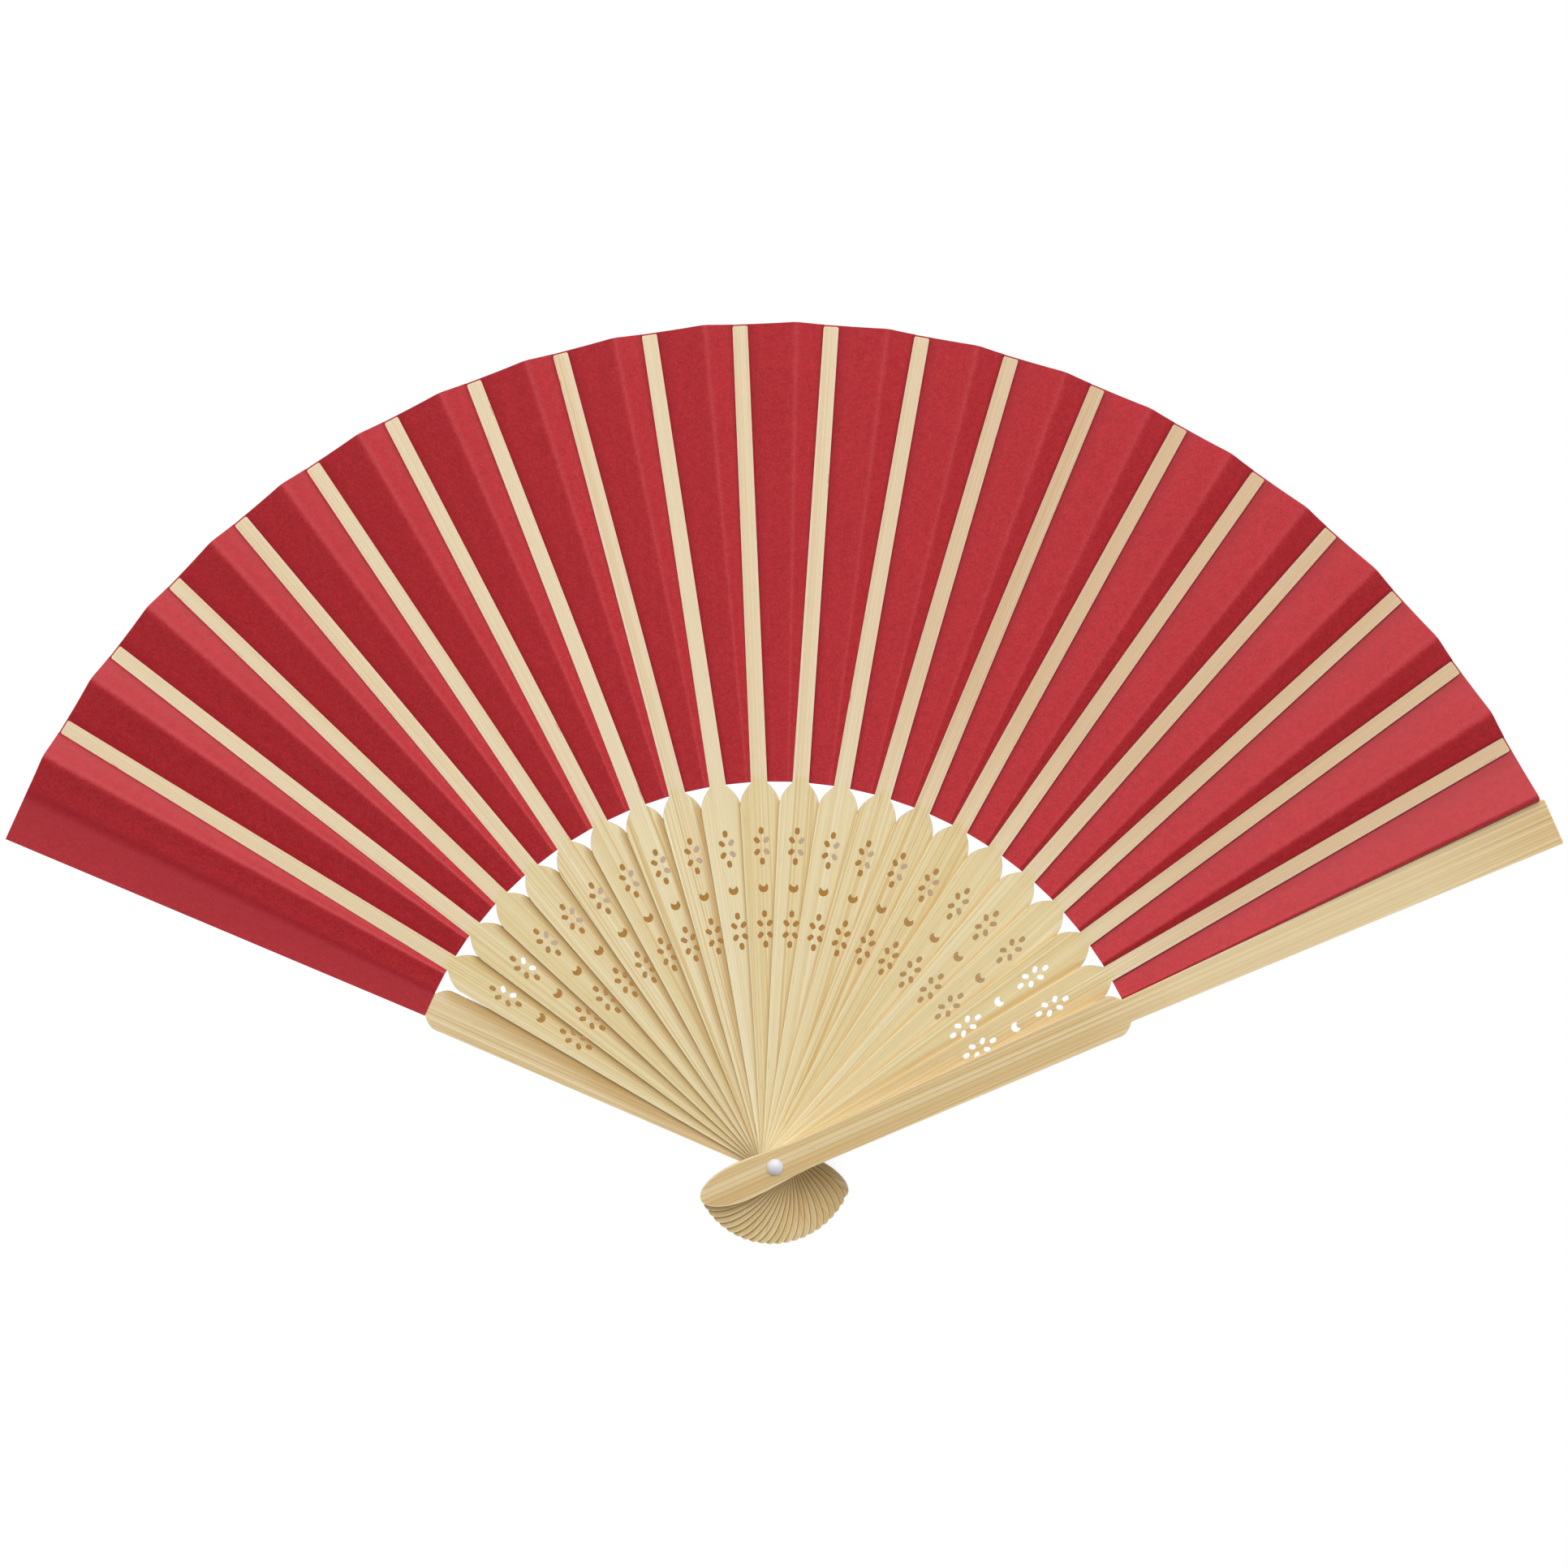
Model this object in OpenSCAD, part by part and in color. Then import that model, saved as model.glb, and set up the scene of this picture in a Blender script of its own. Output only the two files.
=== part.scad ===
/* [Fan] */
// Ribs between the two guards
rib_count = 20; // [6:1:24]
// Angle from one rib to the next when the fan is open
rib_pitch = 6.24; // [5:0.01:7]
// Angle from the back guard to the first rib when open
back_gap = 7.1; // [6:0.05:8.5]
// Angle from the last rib to the front guard when open
front_gap = 6.05; // [5.5:0.05:8]
// From the rivet to the rounded end of a stick
tail_reach = 18.2; // [15:0.1:26]

/* [Leaf] */
// From the rivet to the outer edge of the paper
leaf_outer = 190; // [150:0.5:240]
// From the rivet to the inner edge of the paper
leaf_inner = 86.4; // [70:0.1:110]
// Thickness of the paper
paper_t = 0.12; // [0.08:0.01:0.2]
// Rise of a ridge fold over the seat beside it, at the inner edge
fold_rise_inner = 1.4; // [0.6:0.1:2.5]
// Rise of a ridge fold over the seat beside it, at the outer edge
fold_rise_outer = 4; // [1:0.1:6]
// Plan width of a pleat's short side, at the inner edge
short_side_inner = 0.82; // [0.5:0.02:1.5]
// Plan width of a pleat's short side, at the outer edge
short_side_outer = 6.2; // [3:0.1:7.5]
// Plan width of the last short side, beside the front guard, at the inner edge
end_side_inner = 0.3; // [0.2:0.05:0.8]
// Plan width of the last short side, beside the front guard, at the outer edge
end_side_outer = 1.65; // [0.6:0.05:3]
// How far the paper's end stays inside the front guard's edge
end_inset = 0.5; // [0.2:0.1:1]

/* [Ribs] */
// Thickness of a rib
rib_t = 0.7; // [0.4:0.05:1]
// Width of a rib's tail
rib_tail_w = 7.6; // [6:0.1:10]
// Width of a rib at its waist, by the rivet
rib_waist_w = 6.1; // [5:0.1:8]
// Width of a rib's blade at its shoulder
rib_blade_w = 9; // [7:0.1:12]
// Width of the slip where it enters the leaf
slip_root_w = 3.7; // [2.5:0.1:5]
// Width of the slip at its tip
slip_tip_w = 3.4; // [2:0.1:4.5]
// How far a slip's tip stops short of the paper's edge
slip_short = 0.4; // [0.1:0.1:4]

/* [Guards] */
// Thickness of a guard
guard_t = 1.8; // [1.2:0.1:3]
// Width of a guard's tail
guard_tail_w = 8.6; // [7:0.1:11]
// Width of a guard at its waist, by the rivet
guard_waist_w = 6.8; // [5.5:0.1:9]
// Width of a guard's blade at its shoulder
guard_blade_w = 9.5; // [8:0.1:13]
// Width of a guard where it enters the leaf
guard_root_w = 5.4; // [4:0.1:6.5]
// Width of a guard at its tip
guard_tip_w = 10.8; // [7:0.1:13]
// How far the front guard's tip passes the paper's edge
guard_over = 1; // [0.2:0.1:5]
// How far the back guard's tip stops short of the paper's edge
back_short = 0.6; // [0.1:0.1:4]

/* [Outline] */
// Length of the rounded tail end
tail_round = 10.3; // [6:0.1:13]
// From the rivet out to the waist
waist_reach = 7.5; // [4:0.1:15]
// Length of a rib's curved shoulder
shoulder_len = 5.2; // [2:0.1:8]
// Length of a guard's curved shoulder
guard_shoulder_len = 3.3; // [2:0.1:8]
// Radius of the corners at a stick's tip
tip_round = 0.4; // [0.1:0.1:0.8]

/* [Piercing] */
// From the paper's inner edge in to the outer flower
flower_inset = 14.5; // [10:0.1:20]
// From a flower to the crescent between the two
crescent_step = 9.4; // [7:0.1:12]
// Length of a petal
petal_len = 1.6; // [1.4:0.05:2]
// Width of a petal
petal_w = 1.1; // [0.5:0.05:1.3]
// From a flower's centre to its end petals
end_petal_reach = 3.45; // [2.8:0.05:4.5]
// From a flower's centre to its side petals
side_petal_reach = 1.7; // [1.5:0.05:2.2]
// Angle of the side petals from the rib's length
side_petal_turn = 39; // [30:1:60]
// Diameter of the crescent
crescent_d = 2.2; // [1.4:0.1:3]
// Diameter of the bite out of the crescent
bite_d = 1.3; // [0.8:0.1:1.8]
// How far the bite's centre lies from the crescent's
bite_step = 0.9; // [0.6:0.05:1]

/* [Rivet] */
// Diameter of the pin
pin_d = 2.4; // [1.6:0.1:3]
// Diameter of the two heads
head_d = 3.8; // [3.4:0.1:5.5]
// Height of the front dome
front_head_h = 1.3; // [0.8:0.1:1.6]
// Height of the rear head
rear_head_h = 0.9; // [0.6:0.1:1.5]
// Diameter of the flat on the rear head
rear_flat_d = 2.2; // [1.2:0.1:3]

/* [Clearances] */
// Gap between one stick and the next
stick_gap = 0.05; // [0.03:0.01:0.2]
// Gap all round the pin in a stick's bore
bore_clear = 0.05; // [0.02:0.01:0.1]
// Gap under the front head
head_clear = 0.05; // [0.02:0.01:0.2]
// Room left under the glued paper
paper_clear = 0.02; // [0.01:0.01:0.05]
// Paper beyond each side of a slip or guard before it folds
seat_side = 0.1; // [0.05:0.01:0.2]
// Gap between two pleats along their shared ridge
ridge_clear = 0.16; // [0.12:0.01:0.3]
// Gap between a shoulder and the paper's inner edge
shoulder_clear = 0.2; // [0.1:0.05:0.5]

/* [Hidden] */
function two_digits(k) = str(k < 10 ? "0" : "", k);
function rib_name(k) = str("rib_", two_digits(k));
function pleat_name(k) = str("leaf_pleat_", two_digits(k));

front = rib_count + 1;

bamboo = [0.88, 0.8, 0.6];
red_paper = [0.73, 0.16, 0.2];
white_plastic = [0.95, 0.95, 0.96];
tail_steps = 14;
waist_steps = 4;
shoulder_steps = 6;
tip_steps = 3;
round_fn = 48;
petal_fn = 24;
cut_over = 1;

// The sticks lie in flat layers up the rivet, back guard lowest
rib_step = rib_t + stick_gap;
ribs_z = rear_head_h + guard_t + stick_gap;
front_z = ribs_z + rib_count * rib_step;
front_top = front_z + guard_t;
function stick_z(k) = k == 0 ? rear_head_h : ribs_z + (k - 1) * rib_step;

// Ribs spread evenly about +Y, with a guard beyond each end
rib_spread = (rib_count - 1) * rib_pitch;
function rib_angle(k) = 90 + rib_spread / 2 - (k - 1) * rib_pitch;
function stick_angle(k) =
    k == 0 ? rib_angle(1) + back_gap
    : k == front ? rib_angle(rib_count) - front_gap
    : rib_angle(k);

// Half outline of a stick as [along, half width]: tail, waist, blade, shoulder, leaf part and tip
shoulder_end = leaf_inner - shoulder_clear;
tail_start = tail_round - tail_reach;
function half_outline(tail_w, waist_w, blade_w, shoulder, root_w, tip_w, tip) = concat(
    [for (i = [0 : tail_steps]) let (a = 90 * i / tail_steps)
        [tail_start - tail_round * cos(a), tail_w / 2 * sin(a)]],
    [for (i = [1 : waist_steps]) let (s = i / waist_steps)
        [tail_start + (waist_reach - tail_start) * s,
         waist_w / 2 + (tail_w - waist_w) / 4 * (1 + cos(180 * s))]],
    [for (i = [0 : shoulder_steps]) let (s = i / shoulder_steps)
        [shoulder_end - shoulder * (1 - s), root_w / 2 + (blade_w - root_w) / 2 * (1 - s * s)]],
    [for (i = [0 : tip_steps]) let (a = 90 * i / tip_steps)
        [tip - tip_round * (1 - sin(a)), tip_w / 2 - tip_round * (1 - cos(a))]]
);
function both_sides(half) = concat(
    half,
    [for (i = [len(half) - 1 : -1 : 1]) [half[i].x, -half[i].y]]
);

function guard_tip(k) = leaf_outer + (k == front ? guard_over : -back_short);
slip_tip = leaf_outer - slip_short;
function guard_outline(k) = both_sides(half_outline(
    guard_tail_w, guard_waist_w, guard_blade_w, guard_shoulder_len, guard_root_w, guard_tip_w, guard_tip(k)
));
rib_outline = both_sides(half_outline(
    rib_tail_w, rib_waist_w, rib_blade_w, shoulder_len, slip_root_w, slip_tip_w, slip_tip
));

module at_stick(k) {
    rotate([0, 0, stick_angle(k)]) children();
}

module stick_bore() {
    circle(r = pin_d / 2 + bore_clear, $fn = round_fn);
}

// The paper's seat is shaved off one face of the leaf part, to the depth of the paper
seat_depth = paper_t + paper_clear;
module paper_seat(z) {
    seat_w = guard_tip_w + guard_blade_w;
    translate([shoulder_end, -seat_w / 2, z]) cube([guard_tip(front), seat_w, seat_depth + cut_over]);
}

// Pierced ornament: a crescent between two six-petalled flowers
module petal() {
    square([petal_len - petal_w, petal_w], center = true);
    for (s = [-1, 1]) translate([s * (petal_len - petal_w) / 2, 0]) circle(d = petal_w, $fn = petal_fn);
}

module flower() {
    for (turn = [0, 180]) rotate(turn) translate([end_petal_reach, 0]) petal();
    for (turn = [side_petal_turn, -side_petal_turn], half = [0, 180])
        rotate(turn + half) translate([side_petal_reach, 0]) petal();
}

module crescent() {
    difference() {
        circle(d = crescent_d, $fn = petal_fn);
        translate([bite_step, 0]) circle(d = bite_d, $fn = petal_fn);
    }
}

module piercing() {
    outer_flower = leaf_inner - flower_inset;
    translate([outer_flower, 0]) flower();
    translate([outer_flower - crescent_step, 0]) crescent();
    translate([outer_flower - 2 * crescent_step, 0]) flower();
}

module back_guard() {
    color(bamboo) at_stick(0) translate([0, 0, stick_z(0)]) difference() {
        linear_extrude(guard_t) difference() {
            polygon(guard_outline(0));
            stick_bore();
        }
        paper_seat(guard_t - seat_depth);
    }
}

module front_guard() {
    color(bamboo) at_stick(front) translate([0, 0, front_z]) difference() {
        linear_extrude(guard_t) difference() {
            polygon(guard_outline(front));
            stick_bore();
        }
        paper_seat(-cut_over);
    }
}

module rib(k) {
    color(bamboo) at_stick(k) translate([0, 0, stick_z(k)]) difference() {
        linear_extrude(rib_t) difference() {
            polygon(rib_outline);
            stick_bore();
            piercing();
        }
        paper_seat(-cut_over);
    }
}

// A domed rivet: ball-shaped heads cut flat, the rear one with a flat crown
front_ball_r = (head_d * head_d / 4 + front_head_h * front_head_h) / (2 * front_head_h);
rear_ball_z = ((head_d * head_d - rear_flat_d * rear_flat_d) / 4 + rear_head_h * rear_head_h)
    / (2 * rear_head_h);
rear_ball_r = sqrt(rear_flat_d * rear_flat_d / 4 + rear_ball_z * rear_ball_z);
front_head_z = front_top + head_clear;
module rivet() {
    color(white_plastic) {
        cylinder(d = pin_d, h = front_head_z + front_head_h / 2, $fn = round_fn);
        intersection() {
            translate([0, 0, rear_ball_z]) sphere(r = rear_ball_r, $fn = round_fn);
            cylinder(d = head_d + cut_over, h = rear_head_h, $fn = round_fn);
        }
        intersection() {
            translate([0, 0, front_head_z + front_head_h - front_ball_r])
                sphere(r = front_ball_r, $fn = round_fn);
            translate([0, 0, front_head_z])
                cylinder(d = head_d + cut_over, h = front_head_h + cut_over, $fn = round_fn);
        }
    }
}

// Each pleat is the strip of the leaf glued to one stick: short side, seat, long side.
// Sections are taken at the inner and outer edge of the paper, each edge = 0 or 1.
function mix(a, b, edge) = a + (b - a) * edge;
function edge_r(edge) = mix(leaf_inner, leaf_outer, edge);
function guard_half(k, edge) = let (t = (edge_r(edge) - shoulder_end) / (guard_tip(k) - shoulder_end))
    mix(guard_root_w, guard_tip_w, t) / 2;
function seat_half(k, edge) =
    seat_side + (k == 0 || k == front ? guard_half(k, edge) : max(slip_root_w, slip_tip_w) / 2);
function seat_z(k) = paper_t / 2 + (k == 0 ? rear_head_h + guard_t - seat_depth : stick_z(k) + paper_clear);
function short_side(k, edge) = k == front ? mix(end_side_inner, end_side_outer, edge)
    : mix(short_side_inner, short_side_outer, edge);

// A point of the paper at one edge, sideways of stick k by y
function paper_point(edge, y, z) = [sqrt(pow(edge_r(edge), 2) - y * y), y, z];
function ridge_y(k, edge) = seat_half(k, edge) + short_side(k, edge);
function ridge_z(k, edge) = seat_z(k) + mix(fold_rise_inner, fold_rise_outer, edge);
function own_ridge(k, edge) = paper_point(edge, ridge_y(k, edge) - ridge_clear / 2, ridge_z(k, edge));
function next_ridge(k, edge) = let (
        gap = stick_angle(k) - stick_angle(k + 1),
        p = paper_point(edge, ridge_y(k + 1, edge) + ridge_clear / 2, ridge_z(k + 1, edge))
    ) [p.x * cos(gap) + p.y * sin(gap), p.y * cos(gap) - p.x * sin(gap), p.z];
function seat_right(k, edge) = k == front ? end_inset - guard_half(k, edge) : -seat_half(k, edge);
function pleat_section(k, edge) = concat(
    k > 0 ? [own_ridge(k, edge)] : [],
    [paper_point(edge, seat_half(k, edge), seat_z(k)), paper_point(edge, seat_right(k, edge), seat_z(k))],
    k < front ? [next_ridge(k, edge)] : []
);

// A section moved off along its upward normals, mitred at the folds
function fold_normal(a, b) = let (d = [b.y - a.y, b.z - a.z]) [d.y, -d.x] / norm(d);
function moved_point(s, i, d) = let (
        n = len(s),
        before = fold_normal(s[max(i, 1) - 1], s[max(i, 1)]),
        after = fold_normal(s[min(i, n - 2)], s[min(i, n - 2) + 1]),
        m = (before + after) / (1 + before * after)
    ) [s[i].x, s[i].y + d * m.x, s[i].z + d * m.y];
function moved(s, d) = [for (i = [0 : len(s) - 1]) moved_point(s, i, d)];

function quad(a, b, c, d) = [[a, b, c], [a, c, d]];
function joined(lists) = [for (list = lists) each list];
// Points run along the inner top, inner bottom, outer top and outer bottom of a section of n points
function pleat_faces(n) = joined(concat(
    [for (i = [0 : n - 2]) each [
        quad(i, 2 * n + i, 2 * n + i + 1, i + 1),
        quad(n + i, n + i + 1, 3 * n + i + 1, 3 * n + i),
        quad(i, i + 1, n + i + 1, n + i),
        quad(2 * n + i + 1, 2 * n + i, 3 * n + i, 3 * n + i + 1)
    ]],
    [quad(2 * n, 0, n, 3 * n), quad(n - 1, 3 * n - 1, 4 * n - 1, 2 * n - 1)]
));

module leaf_pleat(k) {
    inner = pleat_section(k, 0);
    outer = pleat_section(k, 1);
    half_t = paper_t / 2;
    color(red_paper) at_stick(k) polyhedron(
        concat(moved(inner, half_t), moved(inner, -half_t), moved(outer, half_t), moved(outer, -half_t)),
        pleat_faces(len(inner))
    );
}

back_guard();
front_guard();
rivet();
for (k = [1 : rib_count]) rib(k);
for (k = [0 : front]) leaf_pleat(k);
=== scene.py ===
"""Looks of a folding hand fan: pierced bamboo sticks and a pleated red paper leaf on one rivet."""
import math
import random

import bpy
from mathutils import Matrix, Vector, noise


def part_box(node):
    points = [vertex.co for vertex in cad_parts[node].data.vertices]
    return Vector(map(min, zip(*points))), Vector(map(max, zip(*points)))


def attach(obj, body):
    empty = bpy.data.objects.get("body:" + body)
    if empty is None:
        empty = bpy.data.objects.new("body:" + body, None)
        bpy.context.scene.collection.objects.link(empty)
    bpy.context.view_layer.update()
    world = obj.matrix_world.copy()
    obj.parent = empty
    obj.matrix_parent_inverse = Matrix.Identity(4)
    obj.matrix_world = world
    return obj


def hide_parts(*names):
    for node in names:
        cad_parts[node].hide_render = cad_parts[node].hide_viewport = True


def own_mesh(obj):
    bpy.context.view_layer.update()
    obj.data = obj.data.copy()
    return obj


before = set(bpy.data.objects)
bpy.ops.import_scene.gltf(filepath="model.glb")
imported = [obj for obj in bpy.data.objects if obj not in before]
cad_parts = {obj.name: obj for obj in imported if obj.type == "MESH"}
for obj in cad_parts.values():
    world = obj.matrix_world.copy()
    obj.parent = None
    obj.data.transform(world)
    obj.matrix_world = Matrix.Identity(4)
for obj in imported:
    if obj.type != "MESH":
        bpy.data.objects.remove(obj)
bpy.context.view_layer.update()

MM = 0.001

# Sticks: k = 0 is the back guard, 1 to 20 the ribs, 21 the front guard. Angles in degrees
RIB_COUNT = 20
FRONT = RIB_COUNT + 1
FAN_MIDDLE = 90
RIB_PITCH = 6.24
BACK_GAP = 7.1
FRONT_GAP = 6.05
SLIP_W = 3.7 * MM
SLIP_TIP_W = 3.4 * MM
GUARD_ROOT_W = 5.4 * MM
GUARD_TIP_W = 10.8 * MM
GUARD_OVER = 1 * MM
BACK_SHORT = 0.6 * MM
SHOULDER_CLEAR = 0.2 * MM
TAIL_REACH = 18.2 * MM
TAIL_ROUND = 10.3 * MM
WAIST_REACH = 7.5 * MM
RIB_WIDTHS = (7.6 * MM, 6.1 * MM, 9 * MM, SLIP_W)
GUARD_WIDTHS = (8.6 * MM, 6.8 * MM, 9.5 * MM, GUARD_ROOT_W)
RIB_SHOULDER = 5.2 * MM
GUARD_SHOULDER = 3.3 * MM

# Leaf: pairs give the size at the inner and at the outer edge of the paper
LEAF_R = (86.4 * MM, 190 * MM)
PAPER_T = 0.12 * MM
SEAT_SIDE = 0.06 * MM
PRESSED_BELOW = 0.04 * MM
PRESSED_SHARE = 0.85
FOLD_RISE = (1.4 * MM, 4 * MM)
SHORT_SIDE = (0.82 * MM, 6.2 * MM)
END_SIDE = (0.3 * MM, 0.8 * MM)
END_INSET = 0.5 * MM
RIDGE_ROUND = (0.5 * MM, 1.2 * MM)
END_VALLEY_ROUND = (0.6 * MM, 1.4 * MM)
ROUND_SHARE = 0.45
# Fold value at the end panel's free edge, which paints shade over the whole end panel
END_PANEL_SHADE_FOLD = 0.88
WING_SAG = 0.03
WAVE_SIZE = 11 * MM
WAVE_HEIGHT = 0.1 * MM
WAVES_FULL = 0.5

# Steps of the leaf's mesh
ALONG_STEPS = 36
SEAT_STEPS = 2
WING_STEPS = 8
ROUND_STEPS = 4
SHARES = [i / ALONG_STEPS for i in range(ALONG_STEPS + 1)]

# Camera over the leaf, looking straight down
CAMERA_AT = (0.95 * MM, 85.86 * MM, 1050 * MM)
CAMERA_LENS = 105.57
CAMERA_SENSOR = 36
CAMERA_ROLL = math.radians(0.723)


def srgb(red, green, blue):
    """A colour given in 0 to 255, as Blender's linear colour."""
    def linear(c):
        return c / 12.92 if c <= 0.04045 else ((c + 0.055) / 1.055) ** 2.4
    return (*(linear(c / 255) for c in (red, green, blue)), 1)


# Names and places of the sticks
def stick_name(k):
    return "back_guard" if k == 0 else "front_guard" if k == FRONT else f"rib_{k:02d}"


def is_guard(k):
    return k in (0, FRONT)


def pleat_name(k):
    return f"leaf_pleat_{k:02d}"


def rib_angle(k):
    """Angle of a rib from +X when the fan is open, in degrees."""
    return FAN_MIDDLE + RIB_PITCH * ((RIB_COUNT - 1) / 2 - (k - 1))


def stick_angle(k):
    """Angle of a stick from +X when the fan is open, in radians."""
    if k == 0:
        return math.radians(rib_angle(1) + BACK_GAP)
    if k == FRONT:
        return math.radians(rib_angle(RIB_COUNT) - FRONT_GAP)
    return math.radians(rib_angle(k))


# Heights of the paper's seats and of the sticks' tops
SEAT_Z = [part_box(pleat_name(k))[0].z + PAPER_T / 2 for k in range(FRONT + 1)]
STICK_TOP = [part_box(stick_name(k))[1].z for k in range(FRONT + 1)]


def between(pair, share):
    """The value at a share of the way from the first of a pair to the second."""
    return pair[0] + (pair[1] - pair[0]) * share


# Creases of the leaf: edge is 0 at the inner and 1 at the outer edge of the paper
def guard_half(k, edge):
    start = LEAF_R[0] - SHOULDER_CLEAR
    end = LEAF_R[1] + (GUARD_OVER if k == FRONT else -BACK_SHORT)
    share = (between(LEAF_R, edge) - start) / (end - start)
    return between((GUARD_ROOT_W, GUARD_TIP_W), share) / 2


def seat_half(k, edge):
    return SEAT_SIDE + (guard_half(k, edge) if is_guard(k) else between((SLIP_W, SLIP_TIP_W), edge) / 2)


def leaf_point(k, edge, side, rise=0):
    """A point of the paper, sideways of stick k and above its seat."""
    along = math.sqrt(between(LEAF_R, edge) ** 2 - side ** 2)
    turn = stick_angle(k)
    x = along * math.cos(turn) - side * math.sin(turn)
    y = along * math.sin(turn) + side * math.cos(turn)
    return Vector((x, y, SEAT_Z[k] + rise))


def ridge_point(k, edge):
    side = between(END_SIDE if k == FRONT else SHORT_SIDE, edge)
    return leaf_point(k, edge, seat_half(k, edge) + side, between(FOLD_RISE, edge))


def left_point(k, edge):
    return leaf_point(k, edge, seat_half(k, edge))


def right_point(k, edge):
    return leaf_point(k, edge, END_INSET - guard_half(k, edge) if k == FRONT else -seat_half(k, edge))


def crease(point_of, k):
    """A straight crease, as a function of the share of its length."""
    inner, outer = point_of(k, 0), point_of(k, 1)
    return lambda share: inner.lerp(outer, share)


# Sections of the leaf: lists of (point, fold), fold being 1 on a ridge, -1 in a valley and 0 between
def flat_seat(a, b):
    """Straight across a seat, which counts as a valley."""
    return [(a.lerp(b, i / SEAT_STEPS), -1) for i in range(SEAT_STEPS + 1)]


def end_seat(start, curve):
    """From the free edge on the back guard to the middle of its soft valley, and one point past it. Its
    fold values paint shade over the end panel.
    """
    flat = []
    for i in range(WING_STEPS + 1):
        share = i / WING_STEPS
        flat.append((start.lerp(curve[0], share), between((-END_PANEL_SHADE_FOLD, -1), share)))
    return flat + [(p, -1) for p in curve[1:ROUND_STEPS + 2]]


def sagging(a, b, steps):
    """From a valley up a slope that hangs a little below the straight line."""
    drop = WING_SAG * (b - a).length
    return [
        (a.lerp(b, i / steps) - Vector((0, 0, drop * math.sin(math.pi * i / steps))), i / steps - 1)
        for i in range(steps + 1)
    ]


def rounding(before, corner, after, reach):
    """Points round a corner, from before it to after it."""
    reach = min(reach, ROUND_SHARE * (before - corner).length, ROUND_SHARE * (after - corner).length)
    start = corner + (before - corner).normalized() * reach
    end = corner + (after - corner).normalized() * reach
    steps = 2 * ROUND_STEPS
    return [
        start.lerp(corner, i / steps).lerp(corner.lerp(end, i / steps), i / steps)
        for i in range(steps + 1)
    ]


def wing(valley, ridge, beyond, reach):
    """From a valley up to the middle of a rounded ridge, and one point past it."""
    curve = rounding(valley, ridge, beyond, reach)
    slope = sagging(valley, curve[0], WING_STEPS)
    half = [(p, i / ROUND_STEPS) for i, p in enumerate(curve[1:ROUND_STEPS + 2], 1)]
    return slope + half


def waved(p, weight):
    """Lifts a point a little, so that no panel of the paper is quite flat."""
    return p + Vector((0, 0, WAVE_HEIGHT * weight * noise.noise(p / WAVE_SIZE)))


def waved_row(row):
    """A row of points with the waves growing from the glued or creased side to the free one."""
    last = len(row) - 1
    return [(waved(p, min(1, i / last / WAVES_FULL)), fold) for i, (p, fold) in enumerate(row)]


def pressed_up(k, valley, ridge):
    """Where the paper leaves the side of stick k, above a valley and a little below the stick's top."""
    rise = min(STICK_TOP[k] - PRESSED_BELOW - valley.z, PRESSED_SHARE * (ridge.z - valley.z))
    return valley + Vector((0, 0, rise))


def short_wing_rows(k):
    """From the seat of stick k up its side and on to the ridge before it."""
    valley, ridge = crease(left_point, k), crease(ridge_point, k)
    beyond = crease(right_point, k - 1)
    rows = []
    for share in SHARES:
        reach = between(RIDGE_ROUND, share)
        pressed = pressed_up(k, valley(share), ridge(share))
        row = wing(pressed, ridge(share), beyond(share), reach)
        rows.append([(valley(share), -1)] + waved_row(row))
    return rows


def long_wing_rows(k):
    """From the seat of stick k up to the ridge before the next stick."""
    valley, ridge = crease(right_point, k), crease(ridge_point, k + 1)
    beyond = crease(left_point, k + 1)
    rows = []
    for share in SHARES:
        reach = between(RIDGE_ROUND, share)
        bend = end_valley(share)[ROUND_STEPS - 1:] if k == 0 else []
        start = bend.pop() if bend else valley(share)
        far = pressed_up(k + 1, beyond(share), ridge(share))
        row = waved_row(wing(start, ridge(share), far, reach))
        rows.append([(p, -1) for p in bend] + row)
    return rows


def end_valley(share):
    """The soft valley beside the back guard, which no slip presses sharp."""
    seat, valley, ridge = crease(left_point, 0), crease(right_point, 0), crease(ridge_point, 1)
    return rounding(seat(share), valley(share), ridge(share), between(END_VALLEY_ROUND, share))


def seat_rows(k):
    left, right = crease(left_point, k), crease(right_point, k)
    if k == 0:
        return [end_seat(left(share), end_valley(share)) for share in SHARES]
    return [flat_seat(left(share), right(share)) for share in SHARES]


def grid_normals(grid):
    """Unit normals of a grid of points, turned upwards."""
    def step(points, i):
        return points[min(i + 1, len(points) - 1)] - points[max(i - 1, 0)]
    normals = []
    for i in range(len(grid)):
        row = []
        for j in range(len(grid[0])):
            across = step(grid[i], j)
            along = step([r[j] for r in grid], i)
            n = across.cross(along).normalized()
            row.append(n if n.z > 0 else -n)
        normals.append(row)
    return normals


def rim_of(last_row, last_column):
    """Row and column of each point on the rim of a grid, in order."""
    rim = [(0, j) for j in range(last_column + 1)]
    rim += [(i, last_column) for i in range(1, last_row + 1)]
    rim += [(last_row, j) for j in range(last_column - 1, -1, -1)]
    return rim + [(i, 0) for i in range(last_row - 1, 0, -1)]


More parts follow.
